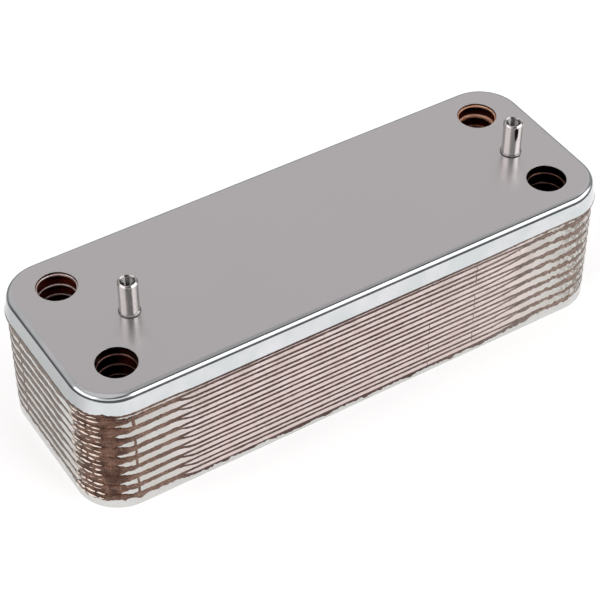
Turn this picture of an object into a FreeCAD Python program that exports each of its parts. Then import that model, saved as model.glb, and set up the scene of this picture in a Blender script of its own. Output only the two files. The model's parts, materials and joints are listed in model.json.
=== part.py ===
import FreeCAD, Part

import math
import os

import Sketcher

# Brazed plate heat exchanger for a boiler's hot water: twenty pressed steel sheets with long skirts, nested
# and joined with copper, and two hollow threaded studs welded to the front cover beside its four ports.
# The frame: +Z is the side of the ports and studs, X runs along the long sides, and the origin is at the
# centre of the port pattern, in the plane that the back rim stands on.

SIZES = {
    # the press outline, at the middle of a channel plate's sheet
    "plate_length": 204.8,
    "plate_width": 70.0,
    "plate_corner": 14.4,
    # the stack
    "stack_height": 52.0,
    "plate_pitch": 2.28,
    "channel_sheet": 0.3,
    "braze_gap": 0.05,
    "cover_sheet": 1.0,
    "bend_inside": 1.1,
    "cover_bend": 2.5,
    "back_bend": 1.6,
    # skirts: the cover's depth, and the lower edges of the channel plates, which run level along the middle
    # of the long sides and round the ends, and change level over two stretches of the long sides
    "cover_skirt": 7.85,
    "middle_step": 0.11,
    "end_drop": 0.2,
    "end_rise": 1.0,
    "left_outer": 75.0,
    "left_inner": 66.0,
    "right_inner": 46.0,
    "right_outer": 76.0,
    # ports
    "port_spacing_along": 172.0,
    "port_spacing_across": 42.0,
    "port_radius": 7.15,
    "rim_radius": 6.8,
    "land_radius": 11.4,
    # herringbone pressing
    "wave_pitch": 9.0,
    "wave_width": 4.2,
    "wave_reach": 31.0,
    "wave_lean": 30.0,
    "wave_flank": 45.0,
    "wave_first": -51.0,
    # studs
    "stud_left": -70.8,
    "stud_right": 84.5,
    "stud_across": -1.9,
    "stud_radius": 3.5,
    "stud_height": 13.3,
    "stud_chamfer": 0.6,
    "tap_radius": 2.1,
    "tap_depth": 11.5,
    "tap_chamfer": 0.6,
    "weld_radius": 4.0,
    "weld_height": 0.9,
    "weld_round": 0.6,
}
CHANNEL_PLATES = 18
WAVES = 14
MARGIN = 1.0  # how far a cutting solid stands past what it cuts

doc = FreeCAD.newDocument("plate_heat_exchanger")
sheet = doc.addObject("Spreadsheet::Sheet", "Sizes")
for row, (alias, value) in enumerate(SIZES.items(), 1):
    sheet.set(f"A{row}", alias.replace("_", " "))
    sheet.set(f"B{row}", str(value))
    sheet.setAlias(f"B{row}", alias)
doc.recompute()

# Expressions that several features share. Heights are measured from the middle of the sheet of the channel
# plate in question, and every skirt leans out by the slope, which makes equal pans nest one braze gap apart.
SLOPE = "asin((Sizes.channel_sheet + Sizes.braze_gap) / Sizes.plate_pitch)"
PRESS_DEPTH = "(Sizes.plate_pitch - Sizes.channel_sheet - Sizes.braze_gap)"
HALF_DEPTH = f"({PRESS_DEPTH} / 2)"
# from a plate's middle level up to the face of its raised lands, and on to the cover sheet that they meet
LAND_TOP = f"({HALF_DEPTH} + Sizes.channel_sheet / 2)"
COVER_UNDERSIDE = f"({LAND_TOP} + Sizes.braze_gap)"
FIRST_LEVEL = f"(Sizes.stack_height - Sizes.cover_sheet - {COVER_UNDERSIDE})"
COVER_EDGE = f"({COVER_UNDERSIDE} + Sizes.cover_sheet - Sizes.cover_skirt)"
SKIRT_EDGE = f"({COVER_EDGE} - Sizes.plate_pitch)"
BACK_LEVEL = f"({FIRST_LEVEL} - {CHANNEL_PLATES} * Sizes.plate_pitch)"


def plate_level(number):
    return f"({FIRST_LEVEL} - {number - 1} * Sizes.plate_pitch)"


def base_plane(body, role):
    return next(feature for feature in body.Origin.OriginFeatures if feature.Role == role)


def new_sketch(body, name, role="XY_Plane", height="0"):
    sketch = body.newObject("Sketcher::SketchObject", name)
    sketch.AttachmentSupport = (base_plane(body, role), [""])
    sketch.MapMode = "FlatFace"
    sketch.setExpression("AttachmentOffset.Base.z", height)
    return sketch


def dimension(sketch, name, constraint, expression):
    index = sketch.addConstraint(constraint)
    sketch.renameConstraint(index, name)
    sketch.setExpression(f"Constraints.{name}", expression)


def draw_outline(sketch, length, width, corner):
    """A rounded rectangle centred on the sketch's origin."""
    half_length, half_width, radius = 100.0, 35.0, 15.0
    across, up = half_length - radius, half_width - radius

    def corner_arc(x, y, start):
        circle = Part.Circle(FreeCAD.Vector(x, y), FreeCAD.Vector(0, 0, 1), radius)
        return Part.ArcOfCircle(circle, math.radians(start), math.radians(start + 90))

    def side(x1, y1, x2, y2):
        return Part.LineSegment(FreeCAD.Vector(x1, y1), FreeCAD.Vector(x2, y2))

    sketch.addGeometry(
        [
            side(-across, -half_width, across, -half_width),
            corner_arc(across, -up, -90),
            side(half_length, -up, half_length, up),
            corner_arc(across, up, 0),
            side(across, half_width, -across, half_width),
            corner_arc(-across, up, 90),
            side(-half_length, up, -half_length, -up),
            corner_arc(-across, -up, 180),
        ],
        False,
    )
    constraints = [Sketcher.Constraint("Tangent", i, 2, (i + 1) % 8, 1) for i in range(8)]
    constraints += [Sketcher.Constraint("Equal", 1, other) for other in (3, 5, 7)]
    constraints += [
        Sketcher.Constraint("Horizontal", 4),
        Sketcher.Constraint("Vertical", 6),
        Sketcher.Constraint("Symmetric", 0, 1, 0, 2, -2),
        Sketcher.Constraint("Symmetric", 2, 1, 2, 2, -1),
    ]
    sketch.addConstraint(constraints)
    dimension(sketch, "length", Sketcher.Constraint("DistanceX", 6, 1, 2, 2, 2 * half_length), length)
    dimension(sketch, "width", Sketcher.Constraint("DistanceY", 0, 1, 4, 2, 2 * half_width), width)
    dimension(sketch, "corner", Sketcher.Constraint("Radius", 1, radius), corner)


def draw_port_circles(sketch, rows, radius):
    """Two circles for each row of ports: rows holds +1 for the back pair, -1 for the front pair."""
    for row in rows:
        for end in (-1, 1):
            name = f"{'back' if row > 0 else 'front'}_{'right' if end > 0 else 'left'}"
            centre = FreeCAD.Vector(end * 80.0, row * 20.0)
            index = sketch.addGeometry(Part.Circle(centre, FreeCAD.Vector(0, 0, 1), 5.0), False)
            along = Sketcher.Constraint("DistanceX", -1, 1, index, 3, centre.x)
            across = Sketcher.Constraint("DistanceY", -1, 1, index, 3, centre.y)
            dimension(sketch, f"{name}_x", along, f"{end} * Sizes.port_spacing_along / 2")
            dimension(sketch, f"{name}_y", across, f"{row} * Sizes.port_spacing_across / 2")
            dimension(sketch, f"{name}_r", Sketcher.Constraint("Radius", index, 5.0), radius)


def draw_chevron(sketch, tip):
    """One V of the herringbone: both arms run back from the tip on the centre line."""
    reach, back, width = 30.0, 17.0, 4.0
    upper = [(-back, reach), (-back - width, reach)]
    lower = [(-back - width, -reach), (-back, -reach)]
    points = [(0, 0), *upper, (-width, 0), *lower]
    corners = [FreeCAD.Vector(x, y) for x, y in points]
    count = len(corners)
    sketch.addGeometry([Part.LineSegment(corners[i], corners[(i + 1) % count]) for i in range(count)], False)
    constraints = [Sketcher.Constraint("Coincident", i, 2, (i + 1) % count, 1) for i in range(count)]
    constraints += [
        Sketcher.Constraint("PointOnObject", 0, 1, -1),
        Sketcher.Constraint("PointOnObject", 3, 1, -1),
        Sketcher.Constraint("Symmetric", 0, 2, 5, 1, -1),
        Sketcher.Constraint("Symmetric", 2, 1, 4, 1, -1),
        Sketcher.Constraint("Horizontal", 1),
    ]
    sketch.addConstraint(constraints)
    dimension(sketch, "tip", Sketcher.Constraint("DistanceX", -1, 1, 0, 1, 1.0), tip)
    dimension(sketch, "width", Sketcher.Constraint("DistanceX", 1, 2, 1, 1, width), "Sizes.wave_width")
    dimension(sketch, "reach", Sketcher.Constraint("DistanceY", 0, 1, 0, 2, reach), "Sizes.wave_reach")
    back_run = "Sizes.wave_reach * tan(Sizes.wave_lean * 1deg)"
    dimension(sketch, "back", Sketcher.Constraint("DistanceX", 0, 2, 0, 1, back), back_run)
    dimension(sketch, "arm", Sketcher.Constraint("DistanceX", 3, 1, 0, 1, width), "Sizes.wave_width")


def level_edges(shape, level):
    """The names of the edges that lie in one level plane."""
    return [
        f"Edge{number}"
        for number, edge in enumerate(shape.Edges, 1)
        if max(abs(edge.BoundBox.ZMin - level), abs(edge.BoundBox.ZMax - level)) < 1e-4
    ]


def add_pad(body, name, sketch, length, taper="0", down=False):
    pad = body.newObject("PartDesign::Pad", name)
    pad.Profile = sketch
    pad.Reversed = down
    pad.setExpression("Length", length)
    pad.setExpression("TaperAngle", taper)
    return pad


def add_pocket(body, name, sketch, length, taper="0"):
    pocket = body.newObject("PartDesign::Pocket", name)
    pocket.Profile = sketch
    pocket.setExpression("Length", length)
    pocket.setExpression("TaperAngle", taper)
    return pocket


def add_pattern(body, name, features):
    pattern = body.newObject("PartDesign::LinearPattern", name)
    pattern.Originals = features
    pattern.Direction = (base_plane(body, "X_Axis"), [""])
    pattern.setExpression("Length", f"{WAVES - 1} * Sizes.wave_pitch")
    pattern.Occurrences = WAVES
    body.Tip = pattern
    return pattern


def skirt_outline(body, name, height, grow):
    """A sketch of a skirt's surface at a height.

    Grow is how far the surface stands out from a channel plate's outside.
    """
    spread = f"(({grow}) / cos({SLOPE}) - ({height}) * tan({SLOPE}))"
    sketch = new_sketch(body, name, height=height)
    draw_outline(
        sketch,
        f"Sizes.plate_length + 2 * {spread}",
        f"Sizes.plate_width + 2 * {spread}",
        f"Sizes.plate_corner + {spread}",
    )
    return sketch


def new_stamp(name, top, bottom, grow, bend):
    """The solid under one surface of a pressed pan: a block with leaning sides and a rounded upper edge.

    top and bottom are heights, grow is how far its sides stand out from a channel plate's outer surface,
    and bend is the radius of the upper edge.
    """
    body = doc.addObject("PartDesign::Body", name)
    outline = skirt_outline(body, f"{name}_outline", top, grow)
    block = add_pad(body, f"{name}_block", outline, f"({top}) - ({bottom})", SLOPE, down=True)
    doc.recompute()
    rounding = body.newObject("PartDesign::Fillet", f"{name}_bend")
    rounding.Base = (block, level_edges(block.Shape, outline.AttachmentOffset.Base.z))
    rounding.setExpression("Radius", bend)
    body.Tip = rounding
    doc.recompute()
    return body


def press_stamp(body, top):
    """Raises and sinks the lands and the herringbone of one surface of a channel plate."""
    name = body.Name
    flank = "-Sizes.wave_flank * 1deg"
    raised = new_sketch(body, f"{name}_raised_lands", height=top)
    draw_port_circles(raised, (1,), f"Sizes.land_radius + {HALF_DEPTH}")
    add_pad(body, f"{name}_raise_lands", raised, HALF_DEPTH, flank)
    sunk = new_sketch(body, f"{name}_sunk_lands", height=top)
    draw_port_circles(sunk, (-1,), f"Sizes.land_radius + {HALF_DEPTH}")
    add_pocket(body, f"{name}_sink_lands", sunk, HALF_DEPTH, flank)
    ridge = new_sketch(body, f"{name}_ridge_outline", height=top)
    draw_chevron(ridge, "Sizes.wave_first")
    add_pattern(body, f"{name}_ridges", [add_pad(body, f"{name}_ridge", ridge, HALF_DEPTH, flank)])
    valley = new_sketch(body, f"{name}_valley_outline", height=top)
    draw_chevron(valley, "Sizes.wave_first + Sizes.wave_pitch / 2")
    add_pattern(body, f"{name}_valleys", [add_pocket(body, f"{name}_valley", valley, HALF_DEPTH, flank)])
    doc.recompute()


def cut(name, base, tool):
    result = doc.addObject("Part::Cut", name)
    result.Base = base
    result.Tool = tool
    return result


def port_punch(name, rows, radius, top, bottom):
    """Round bars, one in each port of the given rows."""
    body = doc.addObject("PartDesign::Body", name)
    circles = new_sketch(body, f"{name}_circles", height=top)
    draw_port_circles(circles, rows, radius)
    add_pad(body, f"{name}_bars", circles, f"({top}) - ({bottom})", down=True)
    return body


def s_bend(left, left_height, right, right_height):
    """Two equal arcs from one level to another.

    They come as sketch arcs with the numbers of their left and right ends.
    """
    run, rise = right - left, right_height - left_height
    radius = (run * run + rise * rise) / (4 * abs(rise))
    middle = FreeCAD.Vector((left + right) / 2, (left_height + right_height) / 2)
    half_turn = 2 * math.atan2(abs(rise), run)
    climbs = 1 if rise > 0 else -1
    arcs = []
    for end_x, end_y, centre_side in ((left, left_height, climbs), (right, right_height, -climbs)):
        centre = FreeCAD.Vector(end_x, end_y + centre_side * radius)
        circle = Part.Circle(centre, FreeCAD.Vector(0, 0, 1), radius)
        down = -math.pi / 2 if centre_side > 0 else math.pi / 2
        towards = 1 if (end_x < middle.x) == (centre_side > 0) else -1
        start, stop = sorted((down, down + towards * half_turn))
        ends = (1, 2) if centre_side > 0 else (2, 1)
        arcs.append((Part.ArcOfCircle(circle, start, stop), ends))
    return arcs


def draw_trim(sketch, stations, middle, ends, low, sagging):
    """The region below a skirt's lower edge, seen from the front: level at both ends and along the middle.

    stations are the four places along X where the edge starts and stops changing level, and sagging says
    whether the middle is the lower part.
    """
    far, ground, end_height = 120.0, -20.0, -7.0
    middle_height = end_height + (-1.0 if sagging else 1.0)
    xs = (-70.0, -60.0, 60.0, 70.0)
    left_bend = s_bend(xs[0], end_height, xs[1], middle_height)
    right_bend = s_bend(xs[2], middle_height, xs[3], end_height)

    def line(x1, y1, x2, y2):
        return Part.LineSegment(FreeCAD.Vector(x1, y1), FreeCAD.Vector(x2, y2))

    chain = [
        (line(-far, ground, -far, end_height), (1, 2)),
        (line(-far, end_height, xs[0], end_height), (1, 2)),
        *left_bend,
        (line(xs[1], middle_height, xs[2], middle_height), (1, 2)),
        *right_bend,
        (line(xs[3], end_height, far, end_height), (1, 2)),
        (line(far, end_height, far, ground), (1, 2)),
        (line(far, ground, -far, ground), (1, 2)),
    ]
    sketch.addGeometry([piece for piece, _ in chain], False)
    smooth = range(1, 7)
    for index, (_, (_, stop)) in enumerate(chain):
        following = (index + 1) % len(chain)
        start = chain[following][1][0]
        kind = "Tangent" if index in smooth else "Coincident"
        sketch.addConstraint(Sketcher.Constraint(kind, index, stop, following, start))
    for index in (1, 4, 7, 9):
        sketch.addConstraint(Sketcher.Constraint("Horizontal", index))
    for index in (0, 8):
        sketch.addConstraint(Sketcher.Constraint("Vertical", index))
    sketch.addConstraint(Sketcher.Constraint("Equal", 2, 3))
    sketch.addConstraint(Sketcher.Constraint("Equal", 5, 6))
    places = ((1, 2, xs[0]), (4, 1, xs[1]), (4, 2, xs[2]), (7, 1, xs[3]))
    for number, ((index, end, value), station) in enumerate(zip(places, stations), 1):
        along = Sketcher.Constraint("DistanceX", -1, 1, index, end, value)
        dimension(sketch, f"station_{number}", along, station)
    for name, index, value, height in (
        ("left_end", 1, end_height, ends),
        ("middle", 4, middle_height, middle),
        ("right_end", 7, end_height, ends),
        ("ground", 9, ground, low),
    ):
        dimension(sketch, name, Sketcher.Constraint("DistanceY", -1, 1, index, 1, value), height)
    reach = f"Sizes.plate_length / 2 + {10 * MARGIN}"
    dimension(sketch, "far_left", Sketcher.Constraint("DistanceX", -1, 1, 0, 1, -far), f"-({reach})")
    dimension(sketch, "far_right", Sketcher.Constraint("DistanceX", -1, 1, 8, 1, far), reach)


def new_trim(name, stations, middle, ends, sagging):
    body = doc.addObject("PartDesign::Body", name)
    outline = new_sketch(body, f"{name}_outline", role="XZ_Plane")
    draw_trim(outline, stations, middle, ends, f"{SKIRT_EDGE} - {4 * MARGIN}", sagging)
    block = add_pad(body, f"{name}_block", outline, f"Sizes.plate_width + {10 * MARGIN}")
    block.Midplane = True
    body.Tip = block
    return body


def clone(name, original, height, turn=0):
    """A body that repeats another object's shape at its own height and turn about Z."""
    body = doc.addObject("PartDesign::Body", name)
    copy = body.newObject("PartDesign::FeatureBase", f"{name}_copy")
    copy.BaseFeature = original
    body.Tip = copy
    body.Placement = FreeCAD.Placement(FreeCAD.Vector(), FreeCAD.Rotation(FreeCAD.Vector(0, 0, 1), turn))
    body.setExpression("Placement.Base.z", height)
    return body


def group(name, members, height, turn=0):
    """Separate solids that make one node."""
    result = doc.addObject("Part::Compound", name)
    result.Links = members
    result.Placement = FreeCAD.Placement(FreeCAD.Vector(), FreeCAD.Rotation(FreeCAD.Vector(0, 0, 1), turn))
    result.setExpression("Placement.Base.z", height)
    return result


# Channel plates. One pressing serves them all: every second one is turned half a turn, so its herringbone
# crosses its neighbour's and its raised lands meet its neighbour's sunk ones. The two hands differ in how
# their skirts are trimmed.

LOWEST_EDGE = f"({SKIRT_EDGE} - Sizes.end_drop)"
SHEET_TOP = "Sizes.channel_sheet / 2"
SHEET_UNDERSIDE = "-Sizes.channel_sheet / 2"

upper_face = new_stamp(
    "press_upper", SHEET_TOP, f"{LOWEST_EDGE} - {MARGIN}", "0", "Sizes.bend_inside + Sizes.channel_sheet"
)
press_stamp(upper_face, SHEET_TOP)
lower_face = new_stamp(
    "press_lower",
    SHEET_UNDERSIDE,
    f"{LOWEST_EDGE} - {2 * MARGIN}",
    "-Sizes.channel_sheet",
    "Sizes.bend_inside",
)
press_stamp(lower_face, SHEET_UNDERSIDE)
rim_punch = port_punch(
    "rim_punch", (1, -1), "Sizes.rim_radius", f"{LAND_TOP} + {MARGIN}", f"-{LAND_TOP} - {MARGIN}"
)
pressed_pan = cut("pressed_pan", upper_face, lower_face)
pierced_pan = cut("pierced_pan", pressed_pan, rim_punch)
odd_trim = new_trim(
    "odd_trim",
    ("-Sizes.left_outer", "-Sizes.left_inner", "Sizes.right_inner", "Sizes.right_outer"),
    f"{SKIRT_EDGE} + Sizes.middle_step",
    LOWEST_EDGE,
    sagging=False,
)
even_trim = new_trim(
    "even_trim",
    ("-Sizes.right_outer", "-Sizes.right_inner", "Sizes.left_inner", "Sizes.left_outer"),
    f"{SKIRT_EDGE} - Sizes.middle_step",
    f"{SKIRT_EDGE} + Sizes.end_rise",
    sagging=True,
)
odd_pressing = cut("odd_pressing", pierced_pan, odd_trim)
even_pressing = cut("even_pressing", pierced_pan, even_trim)
nodes = []
for number in range(1, CHANNEL_PLATES + 1):
    is_odd = number % 2 == 1
    pressing, turn = (odd_pressing, 0) if is_odd else (even_pressing, 180)
    nodes.append(clone(f"channel_plate_{number:02d}", pressing, plate_level(number), turn))


# Copper. Each joint is a thin ring between two nested skirts, and a flat ring round each of the two ports
# where the lands of the plates above and below meet.

RING_TOP = "(-Sizes.bend_inside - Sizes.channel_sheet)"


def skirt_ring(name, top, bottom, grow):
    """The copper between two nested skirts.

    Grow is how far its outer side stands out from a channel plate's outside.
    """
    body = doc.addObject("PartDesign::Body", name)
    outside = skirt_outline(body, f"{name}_outside", top, grow)
    add_pad(body, f"{name}_block", outside, f"({top}) - ({bottom})", SLOPE, down=True)
    inside = skirt_outline(body, f"{name}_inside", top, f"{grow} - Sizes.braze_gap")
    body.Tip = add_pocket(body, f"{name}_hollow", inside, f"({top}) - ({bottom}) + {MARGIN}", SLOPE)
    return body


def land_rings(name, row, top):
    """Two flat copper rings between lands, for the back ports (row 1) or the front ones (row -1)."""
    body = doc.addObject("PartDesign::Body", name)
    discs = new_sketch(body, f"{name}_discs", height=top)
    draw_port_circles(discs, (row,), "Sizes.land_radius")
    add_pad(body, f"{name}_disc", discs, "Sizes.braze_gap", down=True)
    holes = new_sketch(body, f"{name}_holes", height=top)
    draw_port_circles(holes, (row,), "Sizes.rim_radius")
    body.Tip = add_pocket(body, f"{name}_hole", holes, f"Sizes.braze_gap + {MARGIN}")
    return body


NESTED_TOP = f"(-Sizes.plate_pitch + {RING_TOP})"
cover_ring = skirt_ring("cover_ring", RING_TOP, COVER_EDGE, "Sizes.braze_gap")
odd_ring = skirt_ring("odd_ring", NESTED_TOP, f"{SKIRT_EDGE} + Sizes.middle_step", "-Sizes.channel_sheet")
even_ring = skirt_ring("even_ring", NESTED_TOP, f"{SKIRT_EDGE} + Sizes.end_rise", "-Sizes.channel_sheet")
raised_rings = land_rings("raised_rings", 1, f"{LAND_TOP} + Sizes.braze_gap")
sunk_rings = land_rings("sunk_rings", -1, f"-{LAND_TOP}")

nodes.append(group("copper_braze_01", [cover_ring, raised_rings], plate_level(1)))
for number in range(1, CHANNEL_PLATES + 1):
    is_odd = number % 2 == 1
    ring, turn = (odd_ring, 0) if is_odd else (even_ring, 180)
    nodes.append(group(f"copper_braze_{number + 1:02d}", [ring, sunk_rings], plate_level(number), turn))


# Covers. The front one carries the ports. The back one is blank, closes the far end of the port passages
# and stands on the rim of its skirt.


def cover_pan(name, top, bottom, grow, bend):
    """A thicker pan: top is the height of its face, grow is how far its skirt stands out."""
    outer = new_stamp(f"{name}_outside", top, bottom, grow, bend)
    inner_top = f"({top} - Sizes.cover_sheet)"
    inner_grow = f"{grow} - Sizes.cover_sheet"
    inner_bend = f"{bend} - Sizes.cover_sheet"
    inner = new_stamp(f"{name}_inside", inner_top, f"({bottom}) - {MARGIN}", inner_grow, inner_bend)
    return cut(name, outer, inner)


COVER_TOP = f"({COVER_UNDERSIDE} + Sizes.cover_sheet)"
COVER_GROW = "Sizes.braze_gap + Sizes.cover_sheet"
cover_blank = cover_pan("cover_blank", COVER_TOP, COVER_EDGE, COVER_GROW, "Sizes.cover_bend")
port_bars = port_punch(
    "port_bars", (1, -1), "Sizes.port_radius", f"{COVER_TOP} + {MARGIN}", f"{COVER_UNDERSIDE} - {MARGIN}"
)
front_cover = cut("front_cover", cover_blank, port_bars)
front_cover.setExpression("Placement.Base.z", plate_level(1))
nodes.append(front_cover)

back_cover = cover_pan("back_cover", LAND_TOP, f"-{BACK_LEVEL}", "0", "Sizes.back_bend")
back_cover.setExpression("Placement.Base.z", BACK_LEVEL)
nodes.append(back_cover)


# Studs: round posts with a tapped blind hole in the free end, each in a small collar of weld metal.


def draw_circle(sketch, radius):
    index = sketch.addGeometry(Part.Circle(FreeCAD.Vector(), FreeCAD.Vector(0, 0, 1), 2.0), False)
    sketch.addConstraint(Sketcher.Constraint("Coincident", index, 3, -1, 1))
    dimension(sketch, "radius", Sketcher.Constraint("Radius", index, 2.0), radius)


def place_on_cover(body, across_x):
    body.setExpression("Placement.Base.x", across_x)
    body.setExpression("Placement.Base.y", "Sizes.stud_across")
    body.setExpression("Placement.Base.z", "Sizes.stack_height")
    return body


def new_stud(name, along):
    body = doc.addObject("PartDesign::Body", name)
    foot = new_sketch(body, f"{name}_foot")
    draw_circle(foot, "Sizes.stud_radius")
    post = add_pad(body, f"{name}_post", foot, "Sizes.stud_height")
    doc.recompute()
    top = sheet.stud_height
    end = body.newObject("PartDesign::Chamfer", f"{name}_end")
    end.Base = (post, level_edges(post.Shape, top))
    end.setExpression("Size", "Sizes.stud_chamfer")
    mouth = new_sketch(body, f"{name}_mouth", height="Sizes.stud_height")
    draw_circle(mouth, "Sizes.tap_radius")
    tapping = add_pocket(body, f"{name}_tapping", mouth, "Sizes.tap_depth")
    doc.recompute()
    lip = [
        edge
        for edge in level_edges(tapping.Shape, top)
        if abs(tapping.Shape.getElement(edge).Curve.Radius - sheet.tap_radius) < 1e-6
    ]
    lead = body.newObject("PartDesign::Chamfer", f"{name}_lead")
    lead.Base = (tapping, lip)
    lead.setExpression("Size", "Sizes.tap_chamfer")
    body.Tip = lead
    return place_on_cover(body, along)


def new_weld(name, along):
    body = doc.addObject("PartDesign::Body", name)
    rim = new_sketch(body, f"{name}_rim")
    draw_circle(rim, "Sizes.weld_radius")
    collar = add_pad(body, f"{name}_collar", rim, "Sizes.weld_height")
    doc.recompute()
    shoulder = body.newObject("PartDesign::Fillet", f"{name}_shoulder")
    shoulder.Base = (collar, level_edges(collar.Shape, sheet.weld_height))
    shoulder.setExpression("Radius", "Sizes.weld_round")
    opening = new_sketch(body, f"{name}_opening", height="Sizes.weld_height")
    draw_circle(opening, "Sizes.stud_radius")
    body.Tip = add_pocket(body, f"{name}_bore", opening, f"Sizes.weld_height + {MARGIN}")
    return place_on_cover(body, along)


for side in ("left", "right"):
    nodes.append(new_stud(f"stud_{side}", f"Sizes.stud_{side}"))
    nodes.append(new_weld(f"stud_weld_{side}", f"Sizes.stud_{side}"))


doc.recompute()
for item in doc.Objects:
    if {"Invalid", "Error"} & set(item.State):
        raise RuntimeError(f"{item.Name} did not recompute: {item.State}")
os.makedirs("parts", exist_ok=True)
for node in nodes:
    node.Label = node.Name
    shape = node.Shape
    if shape.isNull() or not shape.isValid() or not shape.Solids:
        raise RuntimeError(f"{node.Label} has no valid solid")
    shape.exportStep(f"parts/{node.Label}.step")
    box = shape.BoundBox
    print(
        f"{node.Label:20s} solids {len(shape.Solids)}  faces {len(shape.Faces):4d}"
        f"  volume {shape.Volume:9.1f}  x {box.XMin:8.2f} {box.XMax:8.2f}"
        f"  y {box.YMin:7.2f} {box.YMax:7.2f}  z {box.ZMin:6.2f} {box.ZMax:6.2f}"
    )
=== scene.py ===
import json
import math

import bpy
import numpy as np
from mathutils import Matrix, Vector


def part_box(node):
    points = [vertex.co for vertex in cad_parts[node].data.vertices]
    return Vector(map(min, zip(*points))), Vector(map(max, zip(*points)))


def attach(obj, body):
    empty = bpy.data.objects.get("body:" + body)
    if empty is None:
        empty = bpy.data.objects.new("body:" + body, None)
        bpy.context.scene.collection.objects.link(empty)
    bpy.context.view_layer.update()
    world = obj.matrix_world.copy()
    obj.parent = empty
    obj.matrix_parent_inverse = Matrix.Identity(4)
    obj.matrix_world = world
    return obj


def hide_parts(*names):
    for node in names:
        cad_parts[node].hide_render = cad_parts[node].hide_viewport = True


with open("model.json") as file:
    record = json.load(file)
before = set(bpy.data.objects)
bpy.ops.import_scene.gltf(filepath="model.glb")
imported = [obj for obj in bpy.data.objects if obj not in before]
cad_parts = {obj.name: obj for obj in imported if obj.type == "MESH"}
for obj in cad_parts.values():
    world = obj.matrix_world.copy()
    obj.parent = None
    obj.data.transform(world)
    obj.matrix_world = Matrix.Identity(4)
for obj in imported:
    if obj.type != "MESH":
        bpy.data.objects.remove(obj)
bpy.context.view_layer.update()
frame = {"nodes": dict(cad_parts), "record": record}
nodes = frame["nodes"]
mounts = {mount["name"]: mount for mount in frame["record"]["mounts"]}

# Lengths below are in millimetres, as in the CAD source, and turn into metres where a mesh is made.
MM = 0.001

# The stack as the CAD source builds it: plates one pitch apart, whose skirts lean out and nest.
PLATES = 18
SHEET = 0.3
GAP = 0.05
COVER_SHEET = 1.0
HALF_LENGTH = 102.4
HALF_WIDTH = 35.0
CORNER = 14.4
RIM_RADIUS = 6.8
LAND_RADIUS = 11.4
PORT_RADIUS = mounts["port_back_right"]["dims"]["r_mm"]
THREAD_DEPTH = 0.33
THREAD_OUTER = mounts["stud_thread_left"]["dims"]["r_mm"] + THREAD_DEPTH
plate_top = [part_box(f"channel_plate_{number:02d}")[1].z / MM for number in (1, 3)]
PITCH = (plate_top[0] - plate_top[1]) / 2
LAND = (PITCH - SHEET - GAP) / 2 + SHEET / 2  # from the middle of a plate to the face of a raised land
FIRST_LEVEL = plate_top[0] - LAND
COVER_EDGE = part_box("front_cover")[0].z / MM
COVER_FACE = FIRST_LEVEL + LAND + GAP + COVER_SHEET
LEAN = math.asin((SHEET + GAP) / PITCH)  # how far the skirts lean from upright

# The lower edges of the skirts: how far they stand off an even spacing along the middle and round the ends,
# for plates with odd and even numbers, and the stretches of the long sides where they change level.
MIDDLE_STEP = {1: 0.11, 0: -0.11}
END_STEP = {1: -0.2, 0: 1.0}
LEFT_BEND = (-75.0, -66.0)
RIGHT_BEND = (46.0, 76.0)


# ---------------------------------------------------------------- helpers


def smooth_step(value, low, high):
    """0 below low, 1 above high, and a smooth rise between."""
    t = np.clip((np.asarray(value, float) - low) / (high - low), 0, 1)
    return t * t * (3 - 2 * t)


def wander(seed, position, total, scale):
    """Smooth random values from -1 to 1 along a closed line of the given total length."""
    count = max(4, round(total / scale))
    values = np.random.default_rng(seed).uniform(-1, 1, count)
    place = np.asarray(position) / total * count
    index = np.floor(place).astype(int)
    share = place - index
    share = share * share * (3 - 2 * share)
    return values[index % count] * (1 - share) + values[(index + 1) % count] * share


def full_turn(count):
    """Angles evenly round a circle."""
    return np.arange(count) / count * 2 * math.pi


def grid_faces(rows, columns, close_rows, close_columns):
    """The four-sided faces between rows of points, joined end to start where asked."""
    faces = []
    for i in range(rows if close_rows else rows - 1):
        for j in range(columns if close_columns else columns - 1):
            k, m = (i + 1) % rows, (j + 1) % columns
            faces.append((i * columns + j, i * columns + m, k * columns + m, k * columns + j))
    return faces


SMOOTH = 180.0  # no edge of a piece counts as sharp


def new_piece(name, points, faces, material, sharp=35.0):
    """A mesh from points in millimetres, riding on the body; edges past the angle `sharp` stay crisp."""
    mesh = bpy.data.meshes.new(name)
    mesh.from_pydata((np.asarray(points) * MM).tolist(), [], faces)
    mesh.shade_smooth()
    mesh.set_sharp_from_angle(angle=math.radians(sharp))
    mesh.materials.append(material)
    piece = bpy.data.objects.new(name, mesh)
    bpy.context.scene.collection.objects.link(piece)
    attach(piece, "root")
    return piece


# ---------------------------------------------------------------- materials


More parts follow.
